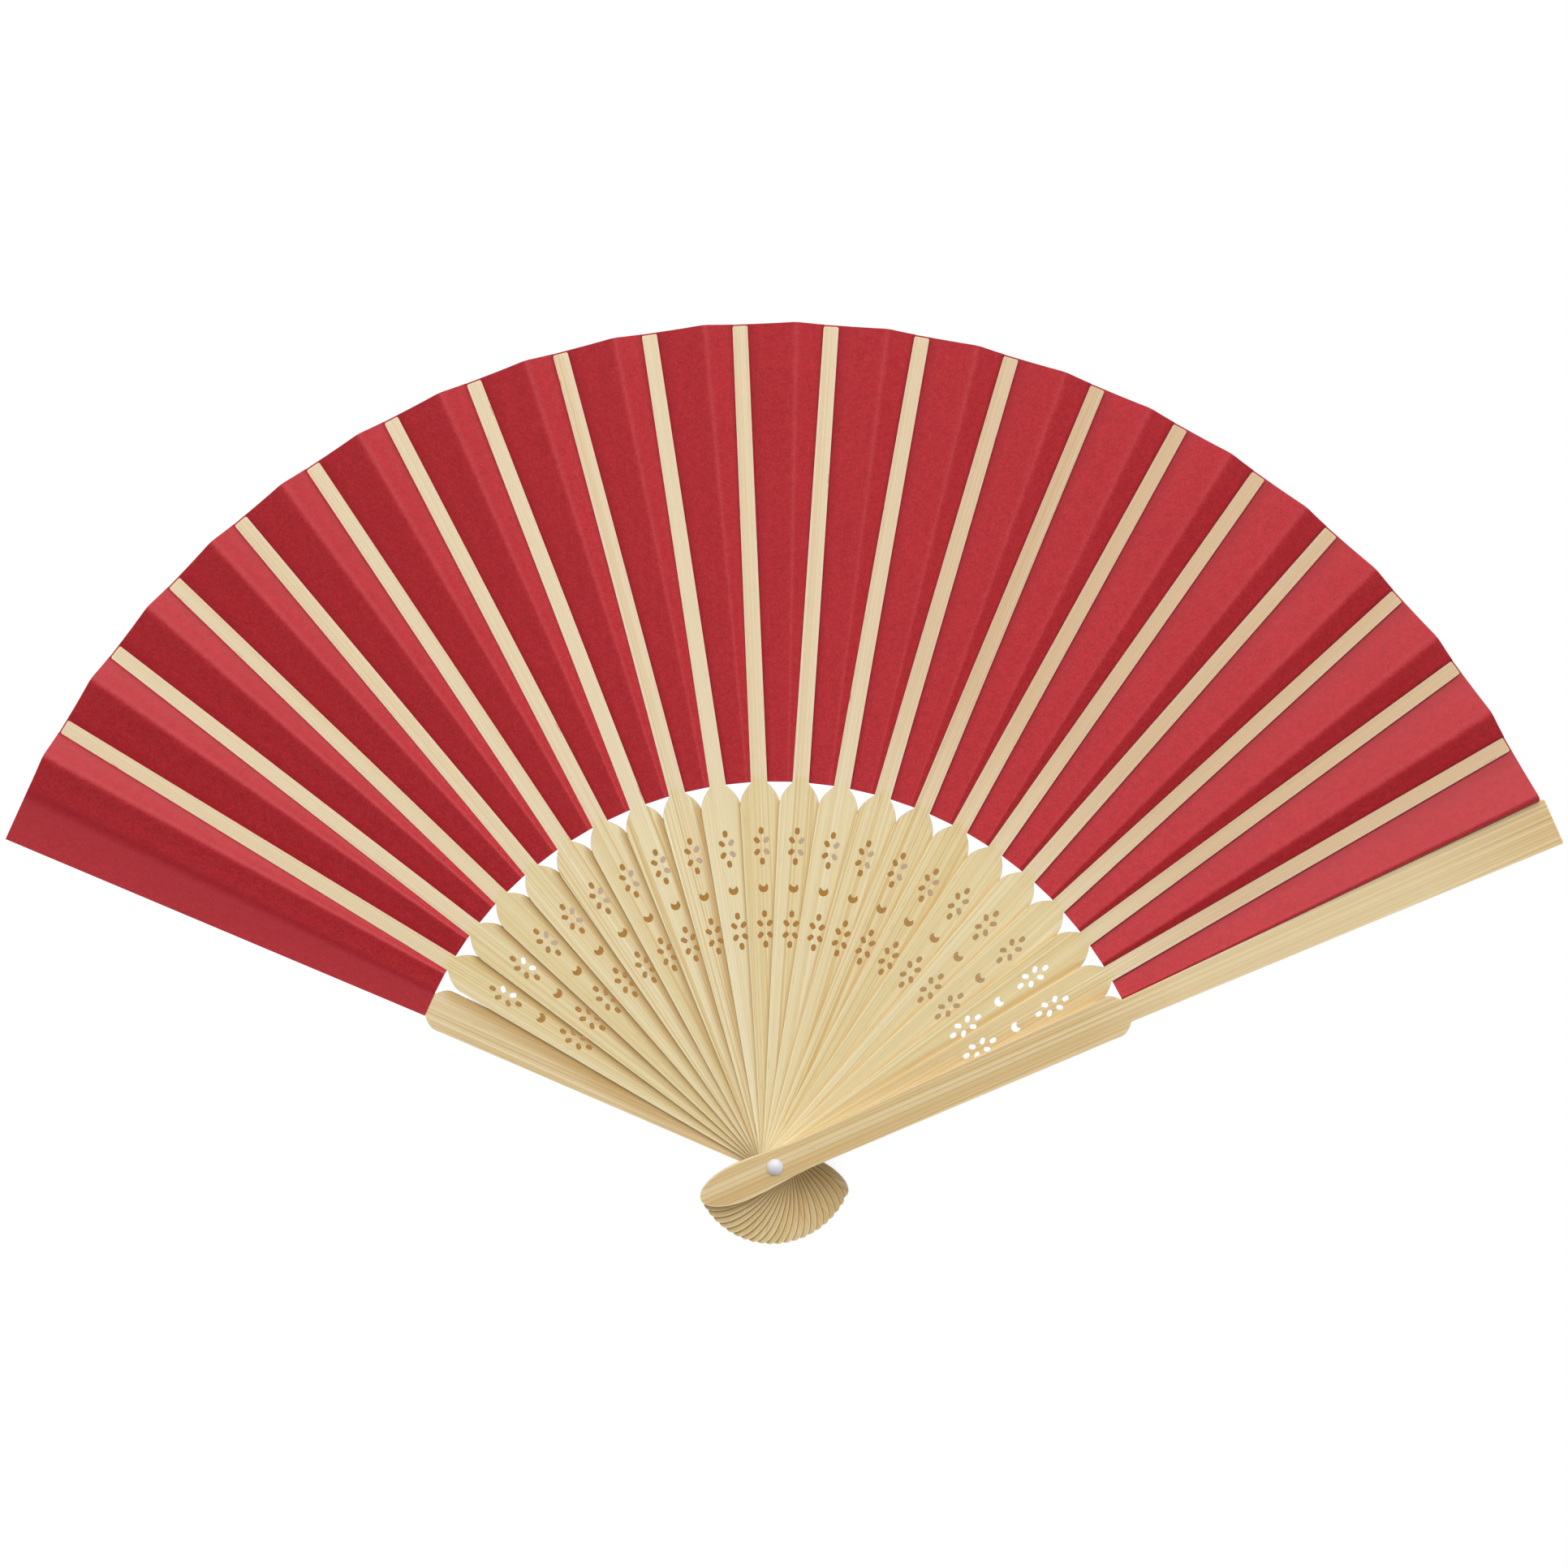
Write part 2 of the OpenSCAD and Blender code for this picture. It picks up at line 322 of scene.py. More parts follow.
def paper_strip(name, parts):
    """A closed strip of paper from side by side grids. A part is (rows, points before, points past)."""
    verts, faces, folds, sharp = [], [], [], set()
    for rows, before, past in parts:
        grid = [[p for p, _ in row] for row in rows]
        normals = grid_normals(grid)
        columns = len(grid[0]) - before - past
        base = len(verts)
        count = len(grid) * columns
        for side in (1, -1):
            for i, row in enumerate(rows):
                for j in range(before, before + columns):
                    verts.append(row[j][0] + normals[i][j] * side * PAPER_T / 2)
                    folds.append(row[j][1])
        def at(i, j, under):
            return base + under * count + i * columns + j
        last_row, last_column = len(grid) - 1, columns - 1
        for i in range(last_row):
            for j in range(last_column):
                faces.append([at(i, j, 0), at(i, j + 1, 0), at(i + 1, j + 1, 0), at(i + 1, j, 0)])
                faces.append([at(i, j, 1), at(i + 1, j, 1), at(i + 1, j + 1, 1), at(i, j + 1, 1)])
        rim = rim_of(last_row, last_column)
        for a, b in zip(rim, rim[1:] + rim[:1]):
            faces.append([at(*b, 0), at(*a, 0), at(*a, 1), at(*b, 1)])
            sharp |= {frozenset((at(*a, u), at(*b, u))) for u in (0, 1)}
    mesh = bpy.data.meshes.new(name)
    mesh.from_pydata(verts, [], faces)
    mesh.attributes.new("fold", "FLOAT", "POINT").data.foreach_set("value", folds)
    mesh.polygons.foreach_set("use_smooth", [True] * len(faces))
    for edge in mesh.edges:
        edge.use_edge_sharp = frozenset(edge.vertices) in sharp
    mesh.update()
    piece = bpy.data.objects.new(name, mesh)
    bpy.context.collection.objects.link(piece)
    return piece


# Shader nodes
WHITE = (1, 1, 1, 1)
COARSE_SHARE = 0.6
FINE_SHARE = 0.4


def node(tree, kind, inputs=(), **settings):
    """A new node with its settings, and its inputs set to values or linked to sockets."""
    made = tree.nodes.new("ShaderNode" + kind)
    for name, value in settings.items():
        setattr(made, name, value)
    for socket, value in dict(inputs).items():
        if isinstance(value, bpy.types.NodeSocket):
            tree.links.new(value, made.inputs[socket])
        else:
            made.inputs[socket].default_value = value
    return made


def math_node(tree, operation, a, b=0.0):
    return node(tree, "Math", {0: a, 1: b}, operation=operation).outputs[0]


def ranged(tree, value, low, high, to_low=0.0, to_high=1.0, shape="LINEAR"):
    inputs = {"Value": value, "From Min": low, "From Max": high, "To Min": to_low, "To Max": to_high}
    return node(tree, "MapRange", inputs, interpolation_type=shape).outputs[0]


def layer(tree, value, start, full, strength, share=1.0):
    """How much of a layer shows: none where the value is at start, and its strength where it is full."""
    return ranged(tree, value, start, full, 0.0, strength * share)


def ring_of(tree, value, ring):
    """1 between the middle two radii, or angles, of a ring, fading out to the other two."""
    return math_node(
        tree, "MINIMUM", ranged(tree, value, ring[0], ring[1]), ranged(tree, value, ring[3], ring[2])
    )


def mixed(tree, factor, a, b):
    """A mix of two colours, whose sockets are the seventh and eighth of the node."""
    return node(tree, "Mix", {0: factor, 6: a, 7: b}, data_type="RGBA").outputs[2]


def blended(tree, factor, a, b):
    """A mix of two numbers, whose sockets are the third and fourth of the node."""
    return node(tree, "Mix", {0: factor, 2: a, 3: b}).outputs[0]


def noise_of(tree, coords, scale, offset, detail=2.0, roughness=0.5):
    """Noise stretched by three scales, in cycles a metre."""
    place = node(tree, "Mapping", {"Vector": coords, "Location": offset, "Scale": scale})
    inputs = {"Vector": place.outputs[0], "Scale": 1.0, "Detail": detail, "Roughness": roughness}
    return node(tree, "TexNoise", inputs).outputs["Fac"]


def from_rivet(tree):
    """The shaded point, its distance from the rivet, its angle from +X and its height."""
    place = node(tree, "TexCoord").outputs["Object"]
    parts = node(tree, "SeparateXYZ", {0: place})
    radius = node(tree, "VectorMath", {0: place}, operation="LENGTH").outputs["Value"]
    turn = math_node(tree, "ARCTAN2", parts.outputs[1], parts.outputs[0])
    return place, radius, turn, parts.outputs[2]


def new_material(name):
    material = bpy.data.materials.new(name)
    material.use_nodes = True
    tree = material.node_tree
    tree.nodes.clear()
    return material, tree


def surface(tree, inputs):
    shader = node(tree, "BsdfPrincipled", inputs)
    node(tree, "OutputMaterial", {"Surface": shader.outputs[0]})


def relief(tree, coarse, fine):
    """Height made of a coarse and a fine noise."""
    return math_node(
        tree, "ADD",
        math_node(tree, "MULTIPLY", coarse, COARSE_SHARE),
        math_node(tree, "MULTIPLY", fine, FINE_SHARE),
    )


def bump(tree, height, strength, distance):
    inputs = {"Height": height, "Strength": strength, "Distance": distance}
    return node(tree, "Bump", inputs).outputs[0]


# Bamboo: straight grain along the stick, painted golden shade where sticks lie close, a painted highlight
# along the edges, and stained red at the paper, with the slips' sides also painted red for the crimson
# shade beside them
RIB_TONES = (srgb(244, 235, 205), srgb(222, 201, 145), srgb(208, 170, 96))
GUARD_TONES = (srgb(234, 216, 176), srgb(212, 185, 130), srgb(190, 148, 82))
BAMBOO_PORE = srgb(170, 122, 64)
BAMBOO_EDGE = srgb(222, 186, 122)
# Painted shade where one stick lies on another: gold, a lighter gold at the covering edge, and a darker
# line between the tails
BAMBOO_SHADE_GOLD = srgb(195, 155, 87)
BAMBOO_SHADE_GOLD_LIGHTER = srgb(221, 183, 112)
BAMBOO_TAIL_SHADE = srgb(186, 146, 86)
BAMBOO_TAIL = srgb(216, 184, 122)
# Pale grain lines, and the painted highlight along the sticks' edges
BAMBOO_PALE_LINE_AND_HIGHLIGHT = srgb(246, 237, 210)
BAMBOO_CUT = srgb(164, 118, 66)
# Red dye flecks at the paper, and the painted crimson shade on the slips' sides
BAMBOO_STAIN_AND_RED_SHADE = srgb(176, 52, 54)
BAMBOO_BLUSH = srgb(232, 188, 172)
BAMBOO_SLIP = srgb(198, 154, 112)
# How warm a stick is: ribs by a draw, and warmer towards either guard
BACK_TONE = 0.35
FRONT_TONE = 0.7
RIB_TONE = 0.4
TONE_SPREAD = 0.15
BACK_WARMER = 0.3
BACK_WARM_STICKS = (5, 2)
FRONT_WARMER = 0.03
FRONT_WARM_STICK = 8
STICK_SEED = 100
SEED_SPAN = 50
# How streaky a stick is
GUARD_STREAKS = 0.5
RIB_STREAKS = 0.45
PLAIN_STREAKS = 0.2
PLAIN_STICKS = (3, 9, 12, 16, 18)
STRONG_STREAKS = 0.75
STREAKY_STICKS = (5, 7, 8, 13, 14, 15, 20)
# Steps of a stick's outline, and the half width that the curve's full height stands for
CURVE_W = 10 * MM
TAIL_STEPS = 8
SHOULDER_STEPS = 6
# Noises of the grain, with their scales along, across and through the stick
GRAIN_NOISES = {
    "bands": dict(scale=(3, 300, 200), detail=2),
    "lines": dict(scale=(2, 1500, 900), detail=2, roughness=0.6),
    "fine": dict(scale=(4, 4300, 2200), detail=1),
    "hairs": dict(scale=(14, 9000, 3500), detail=1),
    "pores": dict(scale=(240, 5600, 2600), detail=1),
    "veins": dict(scale=(1.5, 620, 400), detail=1),
    "flecks": dict(scale=(160, 1500, 900), detail=2),
}
# Layers of the grain: noise where a layer starts, noise where it is full, and its strength
BAND_SPAN = (0.3, 0.75)
BAND_COOLER = 0.7
BAND_WARMER = 0.2
DARK_LINES = (0.54, 0.66, 0.75)
DARK_LINE_BANDS = (0.35, 0.6, 0.35, 1.0)
PALE_LINES = (0.46, 0.36, 0.4)
VEIN_MIDDLE = 0.5
VEINS = (0.03, 0.008, 0.9)
FINE_FIBRES = (0.5, 0.7, 1.0)
FINE_SHOWN = (0.12, 0.5)
HAIRS = (0.45, 0.75, 0.14)
PORES = (0.68, 0.8, 0.4)
# Layers by the distance along a stick or inside its outline, or by how level its face is
PALER_RING = (75 * MM, 100 * MM, 160 * MM, 192 * MM)
PALER_SHARE = 0.5
WARM_TAIL = (0, -6 * MM, 0.5)
# Painted highlight along each stick's own edges
PAINTED_EDGE_HIGHLIGHT = (0.35 * MM, 0.05 * MM, 0.4)
FACING_UP = (0.3, 0.8)
WARM_WALL = (0.9, 0.2, 0.6)
SCORCH_RING = (LEAF_R[0] - 6 * MM, LEAF_R[0] - 5 * MM, LEAF_R[0] - 0.5 * MM, LEAF_R[0])
SCORCH = (0.16 * MM, 0.04 * MM, 0.55)
# Layers of a slip, which lies on the glued paper
GLUED = (LEAF_R[0] + 0.5 * MM, LEAF_R[0] + 2 * MM)
SLIP_PALER = 0.3
SLIP_BLUSH = 0.18
BROWNING = (LEAF_R[0] - 4 * MM, LEAF_R[0] + 30 * MM, 0.4)
BROWN_STICKS = (11, 14)
# Painted crimson shade on the slips' sides where glued, and red dye flecks near their edges
RED_SHADE_WALL = (0.5, 0.2, 0.85)
FLECK_RIM = (0.5 * MM, 0.15 * MM)
FLECKS = (0.68, 0.76, 0.7)
# Painted golden shade beside the stick that lies on a stick: last stick of a group, full reach, faded
# reach, strength
PAINTED_CONTACT_SHADES = (
    (0, 1.0 * MM, 4.6 * MM, 0.7),
    (8, 0.5 * MM, 2.3 * MM, 0.7),
    (RIB_COUNT - 2, 0.1 * MM, 1.0 * MM, 0.5),
    (RIB_COUNT - 1, 0.4 * MM, 2.0 * MM, 0.6),
    (RIB_COUNT, 0.9 * MM, 6.0 * MM, 0.4),
)
# Where along the stick the painted shade fades in, where it is painted lighter at the covering edge, the
# tail, and the painted shade line between the tails
PAINTED_SHADE_ALONG = (5 * MM, 40 * MM)
PAINTED_SHADE_LIGHTER_EDGE = (-0.6 * MM, -0.1 * MM)
IN_TAIL = (0, -4 * MM)
PAINTED_TAIL_SHADE_LINE = (-0.4 * MM, -0.1 * MM)
BAMBOO_HEIGHTS = (0.3, 0.8)
BAMBOO_ROUGHNESS = (0.48, 0.68)


def half_outline(k):
    """Half outline of a stick up to the leaf, as (along, half width)."""
    tail_w, waist_w, blade_w, root_w = GUARD_WIDTHS if is_guard(k) else RIB_WIDTHS
    shoulder = GUARD_SHOULDER if is_guard(k) else RIB_SHOULDER
    start = TAIL_ROUND - TAIL_REACH
    end = LEAF_R[0] - SHOULDER_CLEAR
    points = []
    for i in range(TAIL_STEPS + 1):
        turn = math.pi / 2 * i / TAIL_STEPS
        points.append((start - TAIL_ROUND * math.cos(turn), tail_w / 2 * math.sin(turn)))
    points.append((WAIST_REACH, waist_w / 2))
    for i in range(SHOULDER_STEPS + 1):
        share = i / SHOULDER_STEPS
        half = root_w / 2 + (blade_w - root_w) / 2 * (1 - share ** 2)
        points.append((end - shoulder * (1 - share), half))
    return points


def inside_of(tree, place, k):
    """How far a point lies inside the outline of stick k, and the point in the stick's own frame."""
    turned = node(
        tree, "Mapping", {"Vector": place, "Rotation": (0, 0, stick_angle(k))}, vector_type="TEXTURE"
    ).outputs[0]
    parts = node(tree, "SeparateXYZ", {0: turned})
    along, aside = parts.outputs[0], parts.outputs[1]
    share = ranged(tree, along, -TAIL_REACH, LEAF_R[0])
    widths = node(tree, "FloatCurve", {"Value": share})
    curve = widths.mapping.curves[0]
    outline = half_outline(k)
    spots = [((x + TAIL_REACH) / (LEAF_R[0] + TAIL_REACH), half / CURVE_W) for x, half in outline]
    curve.points[0].location = spots[0]
    curve.points[1].location = (1, spots[-1][1])
    for spot in spots[1:]:
        curve.points.new(*spot)
    for point in curve.points:
        point.handle_type = "VECTOR"
    widths.mapping.update()
    blade_half = math_node(tree, "MULTIPLY", widths.outputs[0], CURVE_W)
    tip_w = GUARD_TIP_W if is_guard(k) else SLIP_TIP_W
    widening = ranged(tree, along, *LEAF_R, 0, tip_w / 2 - outline[-1][1])
    half = math_node(tree, "ADD", blade_half, widening)
    return math_node(tree, "SUBTRACT", half, math_node(tree, "ABSOLUTE", aside)), turned


def painted_contact_shade(tree, place, along, k):
    """How much painted golden shade stick k gets beside the stick that lies on it, and which gold."""
    covered, _ = inside_of(tree, place, k + 1)
    full, faded, strength = next(row[1:] for row in PAINTED_CONTACT_SHADES if k <= row[0])
    soft = ranged(tree, covered, -faded, -full, 0.0, strength, "SMOOTHSTEP")
    in_tail = ranged(tree, along, *IN_TAIL)
    line = math_node(tree, "MULTIPLY", ranged(tree, covered, *PAINTED_TAIL_SHADE_LINE), in_tail)
    spread = math_node(tree, "MULTIPLY", soft, ranged(tree, along, *PAINTED_SHADE_ALONG))
    lighter_edge = ranged(tree, covered, *PAINTED_SHADE_LIGHTER_EDGE)
    gold = mixed(tree, in_tail, mixed(tree, lighter_edge, BAMBOO_SHADE_GOLD, BAMBOO_SHADE_GOLD_LIGHTER), BAMBOO_TAIL_SHADE)
    return math_node(tree, "MAXIMUM", spread, line), gold


def streaks_of(k):
    if is_guard(k):
        return GUARD_STREAKS
    if k in PLAIN_STICKS:
        return PLAIN_STREAKS
    return STRONG_STREAKS if k in STREAKY_STICKS else RIB_STREAKS


def stick_share(k, start, full):
    """0 up to stick start and 1 from stick full on."""
    return min(1, max(0, (k - start) / (full - start)))


def tone_of(k, draw):
    """How warm the bamboo of stick k is."""
    if is_guard(k):
        return BACK_TONE if k == 0 else FRONT_TONE
    tone = RIB_TONE + draw.uniform(0.0, TONE_SPREAD)
    tone += BACK_WARMER * stick_share(k, *BACK_WARM_STICKS)
    return tone + FRONT_WARMER * max(0, k - FRONT_WARM_STICK)


def grain_noises(tree, grain, seed):
    return {
        name: noise_of(tree, grain, offset=seed * i, **settings)
        for i, (name, settings) in enumerate(GRAIN_NOISES.items(), 1)
    }


def bamboo_grain(tree, noises, tones, tone, streaks):
    """Colour of straight grained bamboo."""
    pale, warm, fibre = tones
    bands, lines = noises["bands"], noises["lines"]
    warmth = ranged(tree, bands, *BAND_SPAN, tone * BAND_COOLER, tone + BAND_WARMER)
    colour = mixed(tree, warmth, pale, warm)
    dark = layer(tree, lines, *DARK_LINES, streaks)
    dark = math_node(tree, "MULTIPLY", dark, ranged(tree, bands, *DARK_LINE_BANDS))
    colour = mixed(tree, dark, colour, fibre)
    colour = mixed(tree, layer(tree, lines, *PALE_LINES), colour, BAMBOO_PALE_LINE_AND_HIGHLIGHT)
    vein = math_node(tree, "ABSOLUTE", math_node(tree, "SUBTRACT", noises["veins"], VEIN_MIDDLE))
    colour = mixed(tree, layer(tree, vein, *VEINS, streaks), colour, fibre)
    fine = layer(tree, noises["fine"], *FINE_FIBRES, between(FINE_SHOWN, streaks))
    colour = mixed(tree, fine, colour, fibre)
    colour = mixed(tree, layer(tree, noises["hairs"], *HAIRS), colour, fibre)
    return mixed(tree, layer(tree, noises["pores"], *PORES), colour, BAMBOO_PORE)


def slip_colour(tree, colour, k, along, inside, level, flecks):
    """A rib's colour with its slip paler, browner near the front guard, flecked with red dye at the paper,
    and painted red on its sides there for the crimson shade beside it.
    """
    glued = ranged(tree, along, *GLUED)
    colour = mixed(tree, math_node(tree, "MULTIPLY", glued, SLIP_PALER), colour, RIB_TONES[0])
    colour = mixed(tree, math_node(tree, "MULTIPLY", glued, SLIP_BLUSH), colour, BAMBOO_BLUSH)
    browning = layer(tree, along, *BROWNING, stick_share(k, *BROWN_STICKS))
    colour = mixed(tree, browning, colour, BAMBOO_SLIP)
    wall = layer(tree, level, *RED_SHADE_WALL)
    fleck = math_node(tree, "MULTIPLY", ranged(tree, inside, *FLECK_RIM), layer(tree, flecks, *FLECKS))
    stain_and_shade = math_node(tree, "MULTIPLY", glued, math_node(tree, "MAXIMUM", wall, fleck))
    return mixed(tree, stain_and_shade, colour, BAMBOO_STAIN_AND_RED_SHADE)


def bamboo(k):
    draw = random.Random(STICK_SEED + k)
    material, tree = new_material(f"bamboo_{k:02d}")
    tone = tone_of(k, draw)
    seed = Vector([draw.uniform(0, SEED_SPAN) for _ in range(3)])
    place = node(tree, "TexCoord").outputs["Object"]
    inside, grain = inside_of(tree, place, k)
    along = node(tree, "SeparateXYZ", {0: grain}).outputs[0]
    facing = node(tree, "SeparateXYZ", {0: node(tree, "TexCoord").outputs["Normal"]}).outputs[2]
    level = math_node(tree, "ABSOLUTE", facing)
    noises = grain_noises(tree, grain, seed)
    tones = GUARD_TONES if is_guard(k) else RIB_TONES
    colour = bamboo_grain(tree, noises, tones, tone, streaks_of(k))
    if is_guard(k):
        paler = math_node(tree, "MULTIPLY", ring_of(tree, along, PALER_RING), PALER_SHARE)
        colour = mixed(tree, paler, colour, tones[0])
    else:
        colour = mixed(tree, layer(tree, along, *WARM_TAIL), colour, BAMBOO_TAIL)
    # Painted highlight along the stick's own edges
    colour = mixed(tree, layer(tree, inside, *PAINTED_EDGE_HIGHLIGHT), colour, BAMBOO_PALE_LINE_AND_HIGHLIGHT)
    # Painted golden shade where the next stick lies on this one, on upward faces only
    if k < FRONT:
        share, gold = painted_contact_shade(tree, place, along, k)
        share = math_node(tree, "MULTIPLY", share, ranged(tree, facing, *FACING_UP))
        colour = mixed(tree, share, colour, gold)
    colour = mixed(tree, layer(tree, level, *WARM_WALL), colour, BAMBOO_EDGE)
    shoulder = ring_of(tree, along, SCORCH_RING)
    scorch = math_node(tree, "MULTIPLY", shoulder, layer(tree, inside, *SCORCH))
    colour = mixed(tree, scorch, colour, BAMBOO_CUT)
    if not is_guard(k):
        colour = slip_colour(tree, colour, k, along, inside, level, noises["flecks"])
    height = relief(tree, noises["lines"], noises["fine"])
    surface(tree, {
        "Base Color": colour,
        "Roughness": ranged(tree, height, *BAMBOO_HEIGHTS, *BAMBOO_ROUGHNESS),
        "Specular IOR Level": 0.35,
        "Subsurface Weight": 0.35,
        "Subsurface Radius": (1.0, 0.6, 0.22),
        "Subsurface Scale": 1.0 * MM,
        "Normal": bump(tree, height, strength=0.35, distance=0.06 * MM),
    })
    return material


# Red paper: mottled dye, fibres, pale specks, rubbed ridges, and painted shade in the valleys and over the
# end panel
PAPER_RED = srgb(186, 24, 36)
PAPER_DEEP = srgb(170, 10, 28)
# Colour of the painted shade in the valleys
PAPER_VALLEY_SHADE = srgb(150, 5, 27)
PAPER_RUBBED = srgb(206, 75, 76)
MOTTLE_NOISE = dict(scale=(700, 700, 700), offset=(3, 1, 4), detail=5, roughness=0.62)
PULP_NOISE = dict(scale=(1900, 1900, 1900), offset=(1, 5, 9), detail=4, roughness=0.65)
CLOUD_NOISE = dict(scale=(45, 90, 60), offset=(2, 6, 5), detail=3)
SMEAR_NOISE = dict(scale=(160, 700, 300), offset=(7, 8, 2), detail=3)
SPECK_NOISE = dict(scale=(1500, 1500, 1500), offset=(8, 4, 6), detail=1)
# Layers of the paper: noise or fold where a layer starts, where it is full, and its strength
MOTTLE_SPAN = (0.36, 0.64)
CLOUDS = (0.3, 0.7, 0.35)
SMEARS = (0.7, 0.82, 0.5)
PULP = (0.42, 0.7, 0.3)
SPECKS = (0.78, 0.86, 0.7)
# Painted shade by the fold, in the valleys and over the end panel
VALLEY_SHADE = (-0.7, -1.0, 0.5)
RIDGES = (0.55, 1.0, 0.2)
RIDGE_PULP = (0.3, 0.7, 0.3, 1.0)
PULP_SPAN = (0.3, 0.7)
PAPER_ROUGHNESS = (0.48, 0.62)


def red_paper():
    material, tree = new_material("red_paper")
    place, radius, turn, rise = from_rivet(tree)
    sweep = math_node(tree, "MULTIPLY", turn, sum(LEAF_R) / 2)
    polar = node(tree, "CombineXYZ", {0: radius, 1: sweep, 2: rise}).outputs[0]
    mottle = noise_of(tree, place, **MOTTLE_NOISE)
    pulp = noise_of(tree, place, **PULP_NOISE)
    clouds = noise_of(tree, polar, **CLOUD_NOISE)
    smears = noise_of(tree, polar, **SMEAR_NOISE)
    specks = noise_of(tree, place, **SPECK_NOISE)
    colour = mixed(tree, ranged(tree, mottle, *MOTTLE_SPAN), PAPER_DEEP, PAPER_RED)
    colour = mixed(tree, layer(tree, clouds, *CLOUDS), colour, PAPER_DEEP)
    colour = mixed(tree, layer(tree, smears, *SMEARS), colour, PAPER_DEEP)
    colour = mixed(tree, layer(tree, pulp, *PULP), colour, PAPER_RUBBED)
    colour = mixed(tree, layer(tree, specks, *SPECKS), colour, PAPER_RUBBED)
    fold = node(tree, "Attribute", attribute_name="fold").outputs["Fac"]
    # Painted shade in the valleys and over the end panel
    colour = mixed(tree, layer(tree, fold, *VALLEY_SHADE), colour, PAPER_VALLEY_SHADE)
    rubbed = math_node(tree, "MULTIPLY", layer(tree, fold, *RIDGES), ranged(tree, pulp, *RIDGE_PULP))
    colour = mixed(tree, rubbed, colour, PAPER_RUBBED)
    surface(tree, {
        "Base Color": colour,
        "Roughness": ranged(tree, pulp, *PULP_SPAN, *PAPER_ROUGHNESS),
        "Specular IOR Level": 0.46,
        "Normal": bump(tree, relief(tree, mottle, pulp), strength=0.28, distance=0.06 * MM),
    })
    return material


# White plastic of the rivet, a little waxy
PLASTIC_DARK = srgb(217, 215, 220)
PLASTIC_PALE = srgb(224, 222, 227)
SCUFF_NOISE = dict(scale=(900, 2600, 900), offset=(2, 3, 7), detail=4, roughness=0.6)
MILK_NOISE = dict(scale=(350, 350, 350), offset=(5, 1, 3), detail=2)
SCUFF_SPAN = (0.35, 0.7)
MILK_SPAN = (0.3, 0.7)
PLASTIC_ROUGHNESS = (0.28, 0.5)


def white_plastic():
    material, tree = new_material("white_plastic")
    place = node(tree, "TexCoord").outputs["Object"]
    scuffs = noise_of(tree, place, **SCUFF_NOISE)
    milk = noise_of(tree, place, **MILK_NOISE)
    surface(tree, {
        "Base Color": mixed(tree, ranged(tree, milk, *MILK_SPAN), PLASTIC_DARK, PLASTIC_PALE),
        "Roughness": ranged(tree, scuffs, *SCUFF_SPAN, *PLASTIC_ROUGHNESS),
        "Subsurface Weight": 1.0,
        "Subsurface Radius": (1.0, 0.9, 0.8),
        "Subsurface Scale": 0.7 * MM,
        "Sheen Weight": 0.6,
        "Sheen Roughness": 0.5,
        "Normal": bump(tree, scuffs, strength=0.12, distance=0.04 * MM),
    })
    return material


# Sticks and rivet keep their CAD solids, with softened edges
EDGE_BEVEL = 0.06 * MM
BEVEL_STEPS = 2
BEVEL_ANGLE = math.radians(35)
WELD_REACH = 0.001 * MM


def dress(name, material):
    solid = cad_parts[name]
    solid.data.materials.clear()
    solid.data.materials.append(material)
    weld = solid.modifiers.new("weld", "WELD")
    weld.merge_threshold = WELD_REACH
    soften = solid.modifiers.new("soften", "BEVEL")
    soften.width = EDGE_BEVEL
    soften.segments = BEVEL_STEPS
    soften.limit_method = "ANGLE"
    soften.angle_limit = BEVEL_ANGLE


def dress_solids():
    for k in range(FRONT + 1):
        dress(stick_name(k), bamboo(k))
    dress("rivet", white_plastic())


# Leaf: each stick carries a panel, glued seat and short side, and a fold, the long side
def place_strip(piece, k, paper):
    piece.data.materials.append(paper)
    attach(piece, stick_name(k))
    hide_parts(pleat_name(k))


def make_panel(k, paper):
    parts = [(seat_rows(k), 0, 1 if k == 0 else 0)]
    if k > 0:
        parts.insert(0, (short_wing_rows(k), 0, 1))
    panel = paper_strip(f"leaf_panel_{k:02d}", parts)
    place_strip(panel, k, paper)
    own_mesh(panel)


def make_fold(k, paper):
    rows = long_wing_rows(k)
    parts = [(rows, 1 if k == 0 else 0, 1)]
    fold = paper_strip(f"leaf_fold_{k:02d}", parts)
    place_strip(fold, k, paper)
    middle = rows[ALONG_STEPS // 2]
    along = (rows[-1][0][0] - rows[0][0][0]).normalized()
    across = middle[-2][0] - middle[0][0]
    across = across - across.dot(along) * along
    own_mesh(fold)


def make_leaf():
    paper = red_paper()
    for k in range(FRONT + 1):
        make_panel(k, paper)
        if k < FRONT:
            make_fold(k, paper)


# Floor: seen white where the sky reaches it, with painted soft shade under the fan by how much sky reaches
# it, painted golden shade just under the ribs' holes, and painted white in a ring and a few spots
FLOOR_HALF = 4
FLOOR_Z = -0.05 * MM
FLOOR_WHITE = 0.86
SHADE_REACH = 0.25
SHADE_SAMPLES = 6
# Share of the sky at which a place is painted in shade and painted fully bright: beside the fan and under
# its holes
OPEN_SKY = (0.09, 0.22)
OPEN_UNDER = (0.28, 0.45)
LOW_UNDER = (0.17, 0.33)
LOW_TURN = (math.radians(100), math.radians(120))
# Colours of the painted shade, and of the painted golden shade seen through the holes
SHADE = srgb(216, 208, 202)
UNDER_BLADES = srgb(171, 123, 58)
UNDER_OUTER = srgb(190, 164, 138)
UNDER_NEAR = srgb(177, 139, 84)
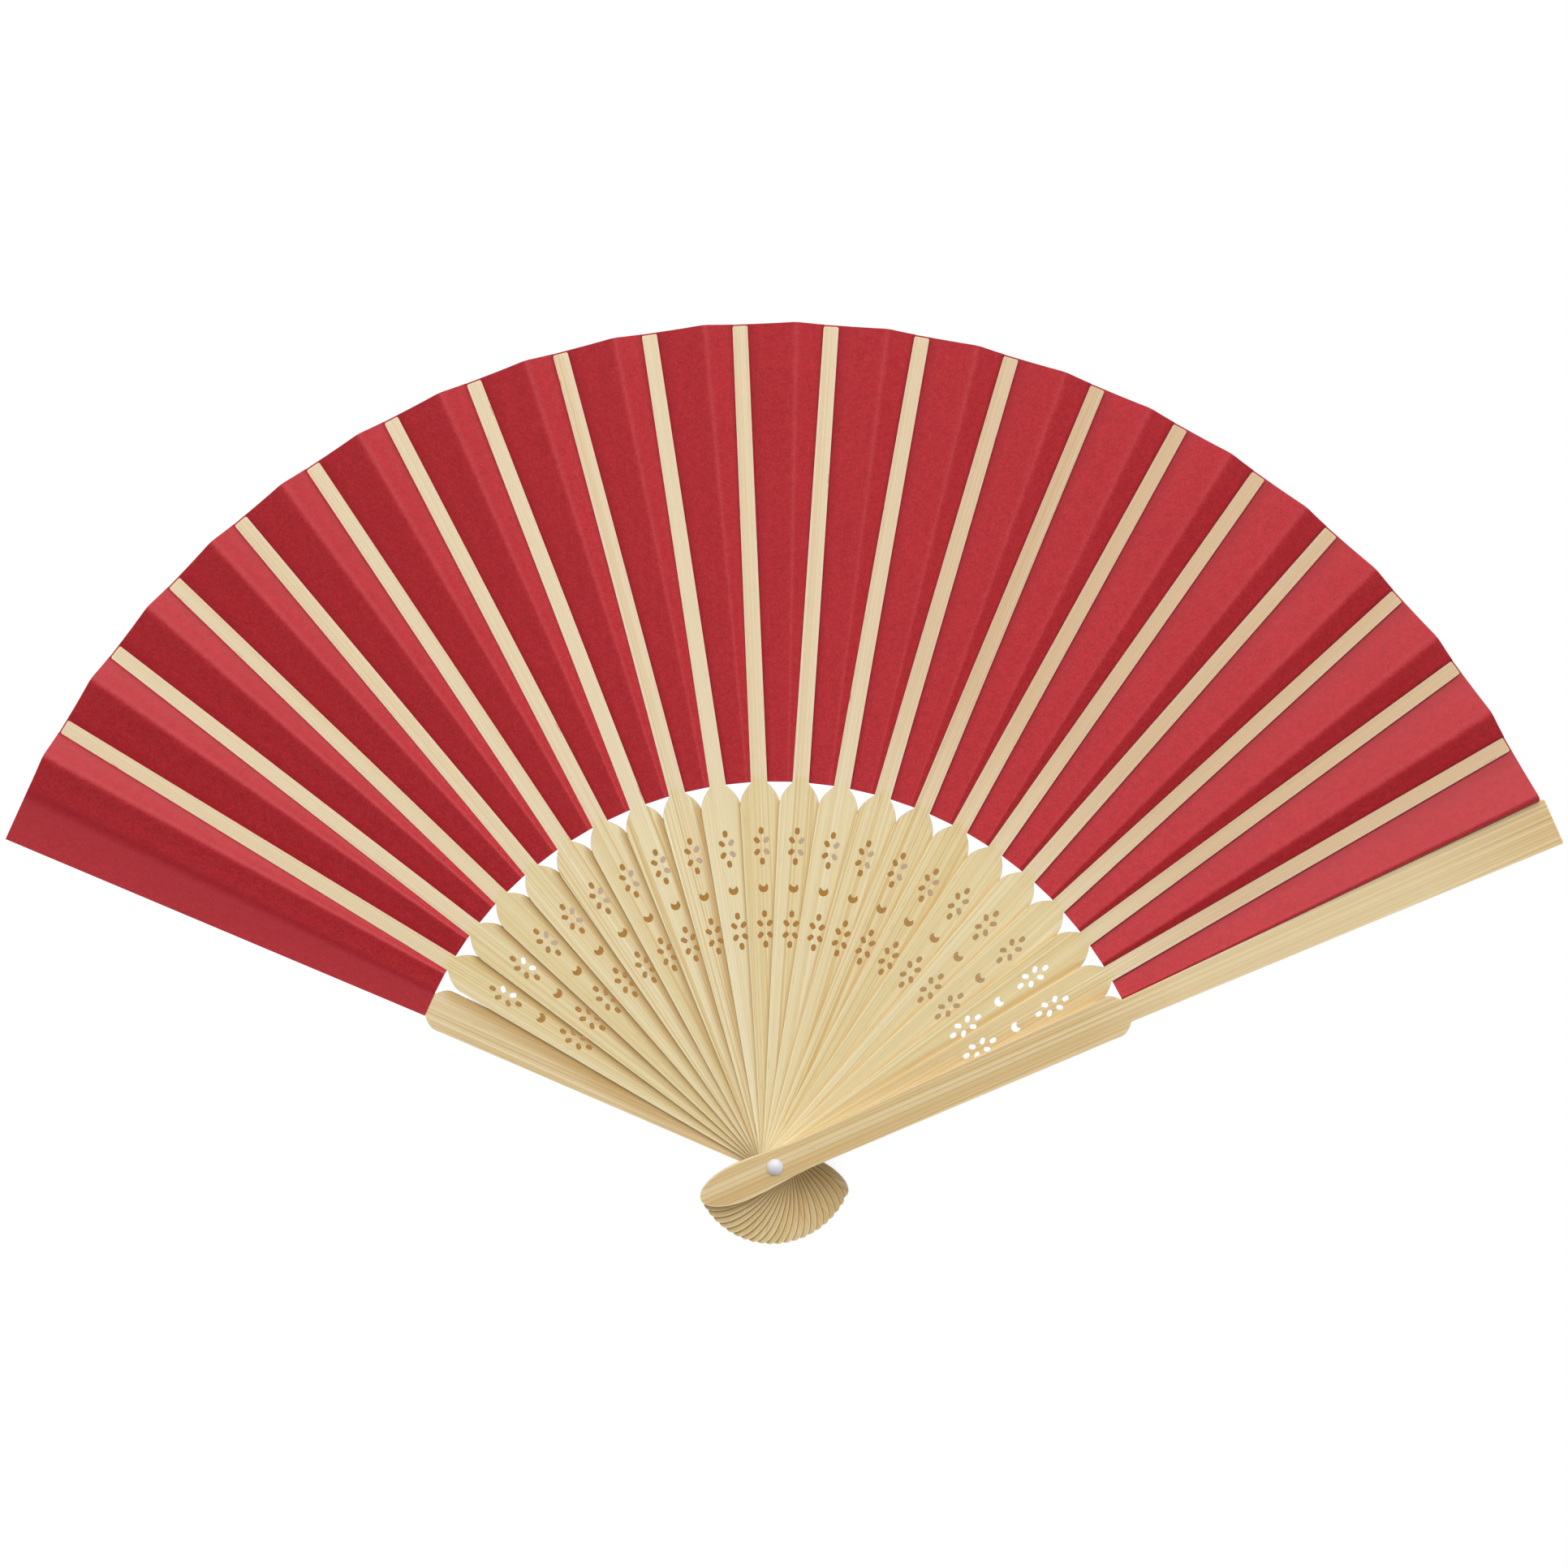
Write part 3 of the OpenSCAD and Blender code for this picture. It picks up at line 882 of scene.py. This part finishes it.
# Under the holes: a row's distance from the rivet, and its spots as along, aside and reach
FLOWER_SPOTS = ((3.45 * MM, 0, 1.15 * MM), (1.32 * MM, 1.07 * MM, 1.15 * MM))
CRESCENT_SPOTS = ((0, 0, 1.45 * MM),)
OUTER_ROW = 71.9 * MM
HOLE_ROWS = ((53.1 * MM, FLOWER_SPOTS), (62.5 * MM, CRESCENT_SPOTS), (OUTER_ROW, FLOWER_SPOTS))
HOLE_SOFT = 0.3 * MM
HALF_SOFT = (0.45, 0.55)
# The spots lean away from straight under the holes, by the angle where the lean is full and its size
LEAN_MIDDLE = math.radians(FAN_MIDDLE)
LEANS = ((math.radians(40), 1.05 * MM), (math.radians(120), -0.25 * MM))
SIDE_PETALS = (2.6 * MM, 2.4 * MM)
# Sectors of the floor, as angles from +X, and the ring beside the leaf that is painted white under the gaps
# between the sticks' shoulders and the leaf
BLADE_SECTOR = (math.radians(38.4), math.radians(39.4), math.radians(156), math.radians(158))
END_TURN = (math.radians(139), math.radians(141))
OPEN_TURN = (math.radians(40), math.radians(38.8))
NEAR_TURN = (math.radians(70), math.radians(50))
NEAR_SHARE = 0.8
PAINTED_WHITE_RING = (76.5 * MM, 80 * MM, 90 * MM, 120 * MM)
PAINTED_WHITE_TURN = (math.radians(155.5), math.radians(154.5))


def seen_ray(tree):
    """1 for rays from the camera, mirrors and glass, else 0."""
    path = node(tree, "LightPath")
    seen = math_node(tree, "MAXIMUM", path.outputs["Is Camera Ray"], path.outputs["Is Glossy Ray"])
    return math_node(tree, "MAXIMUM", seen, path.outputs["Is Transmission Ray"])


def distance_from(tree, value, middle):
    return math_node(tree, "ABSOLUTE", math_node(tree, "SUBTRACT", value, middle))


def hole_spots(tree, radius, turn):
    """Where the floor lies under holes of the ribs, and where under the right half of an outer flower."""
    pitch = math.radians(RIB_PITCH)
    turned = math_node(tree, "SUBTRACT", turn, stick_angle(RIB_COUNT))
    for end, lean in LEANS:
        shift = ranged(tree, turn, LEAN_MIDDLE, end, 0.0, lean)
        turned = math_node(tree, "ADD", turned, math_node(tree, "DIVIDE", shift, radius))
    aside = math_node(tree, "MULTIPLY", math_node(tree, "PINGPONG", turned, pitch / 2), radius)
    found = None
    for middle, spots in HOLE_ROWS:
        along = distance_from(tree, radius, middle)
        spot_place = node(tree, "CombineXYZ", {0: along, 1: aside}).outputs[0]
        for at_along, at_aside, reach in spots:
            centre = {0: spot_place, 1: (at_along, at_aside, 0)}
            gap = node(tree, "VectorMath", centre, operation="DISTANCE").outputs["Value"]
            spot = ranged(tree, gap, reach + HOLE_SOFT, reach)
            found = spot if found is None else math_node(tree, "MAXIMUM", found, spot)
    half = ranged(tree, math_node(tree, "MODULO", turned, pitch), *(share * pitch for share in HALF_SOFT))
    side = ranged(tree, distance_from(tree, radius, OUTER_ROW), *SIDE_PETALS)
    return found, math_node(tree, "MULTIPLY", half, side)


def floor_material():
    material, tree = new_material("floor_white")
    reached = node(tree, "AmbientOcclusion", {"Distance": SHADE_REACH}, samples=SHADE_SAMPLES).outputs["AO"]
    _, radius, turn, _ = from_rivet(tree)
    sector = ring_of(tree, turn, BLADE_SECTOR)
    spots, right = hole_spots(tree, radius, turn)
    # Painted golden shade just under the ribs' holes
    under = math_node(tree, "MULTIPLY", spots, sector)
    golden = mixed(tree, right, UNDER_BLADES, UNDER_OUTER)
    golden = mixed(tree, ranged(tree, turn, *NEAR_TURN, 0.0, NEAR_SHARE), golden, UNDER_NEAR)
    shade = mixed(tree, under, SHADE, golden)
    # Painted shade where little of the sky reaches the floor
    sky = ranged(tree, reached, *OPEN_SKY)
    limits = [ranged(tree, turn, *LOW_TURN, near, far) for near, far in zip(OPEN_UNDER, LOW_UNDER)]
    deep_sky = ranged(tree, reached, *limits)
    painted_bright = blended(tree, under, sky, deep_sky)
    # Painted white in a ring under the gaps beside the leaf, whatever the shade there
    gaps = math_node(tree, "MULTIPLY", ring_of(tree, radius, PAINTED_WHITE_RING), ranged(tree, turn, *PAINTED_WHITE_TURN))
    painted_bright = math_node(tree, "MAXIMUM", painted_bright, gaps)
    # Painted white under the right petals of the outer flowers near the back guard
    end = math_node(tree, "MULTIPLY", under, ranged(tree, turn, *END_TURN))
    painted_bright = math_node(tree, "MAXIMUM", painted_bright, math_node(tree, "MULTIPLY", end, right))
    # Painted white under the holes of the ribs nearest the front guard
    near = math_node(tree, "MULTIPLY", spots, ranged(tree, turn, *OPEN_TURN))
    painted_bright = math_node(tree, "MAXIMUM", painted_bright, near)
    shown = mixed(tree, painted_bright, shade, WHITE)
    matte = node(tree, "BsdfDiffuse", {"Color": (FLOOR_WHITE, FLOOR_WHITE, FLOOR_WHITE, 1)})
    white = node(tree, "Emission", {"Color": shown, "Strength": 1.0})
    both = node(tree, "MixShader", {0: seen_ray(tree), 1: matte.outputs[0], 2: white.outputs[0]})
    node(tree, "OutputMaterial", {"Surface": both.outputs[0]})
    return material


def make_floor():
    corners = [(x * FLOOR_HALF, y * FLOOR_HALF, FLOOR_Z) for x, y in ((-1, -1), (1, -1), (1, 1), (-1, 1))]
    mesh = bpy.data.meshes.new("floor")
    mesh.from_pydata(corners, [], [(0, 1, 2, 3)])
    mesh.materials.append(floor_material())
    floor = bpy.data.objects.new("floor", mesh)
    bpy.context.collection.objects.link(floor)


# Light: a sky that is white at the horizon and dimmer over the near side, and a lamp from beyond the leaf
SKY_LEVEL = 0.66
SKY_DIM = 0.15
SKY_TURN = (-0.66, 0.03)
HORIZON = (0.12, 0.3)
KEY_LEVEL = 0.58
KEY_RISE = math.radians(51)
KEY_TURN = math.radians(11)
KEY_AWAY = 3
KEY_SIZE = 2.6


def make_light():
    world = bpy.data.worlds.new("studio")
    world.use_nodes = True
    tree = world.node_tree
    tree.nodes.clear()
    way = node(tree, "SeparateXYZ", {0: node(tree, "TexCoord").outputs["Generated"]})
    above = ranged(tree, way.outputs[1], *SKY_TURN, SKY_LEVEL * SKY_DIM, SKY_LEVEL)
    rise = ranged(tree, way.outputs[2], *HORIZON)
    level = blended(tree, rise, 1.0, above)
    sky = node(tree, "Background", {"Color": WHITE, "Strength": level})
    node(tree, "OutputWorld", {"Surface": sky.outputs[0]})
    bpy.context.scene.world = world
    lamp = bpy.data.lights.new("key", "AREA")
    lamp.shape = "DISK"
    lamp.size = KEY_SIZE
    lamp.energy = KEY_LEVEL * (math.pi * KEY_AWAY) ** 2 / math.sin(KEY_RISE)
    key = bpy.data.objects.new("key", lamp)
    target = Vector((0, sum(LEAF_R) / 2, 0))
    flat = Vector((math.sin(KEY_TURN), math.cos(KEY_TURN), 0))
    away = flat * math.cos(KEY_RISE) + Vector((0, 0, math.sin(KEY_RISE)))
    key.location = target + away * KEY_AWAY
    key.rotation_euler = away.to_track_quat("Z", "Y").to_euler()
    key.visible_camera = False
    bpy.context.collection.objects.link(key)


def make_camera():
    lens = bpy.data.cameras.new("camera")
    lens.lens = CAMERA_LENS
    lens.sensor_width = CAMERA_SENSOR
    camera = bpy.data.objects.new("camera", lens)
    camera.location = CAMERA_AT
    camera.rotation_euler = (0, 0, CAMERA_ROLL)
    bpy.context.collection.objects.link(camera)
    bpy.context.scene.camera = camera


dress_solids()
make_leaf()
make_floor()
make_light()
make_camera()
bpy.context.scene.view_settings.view_transform = "Standard"
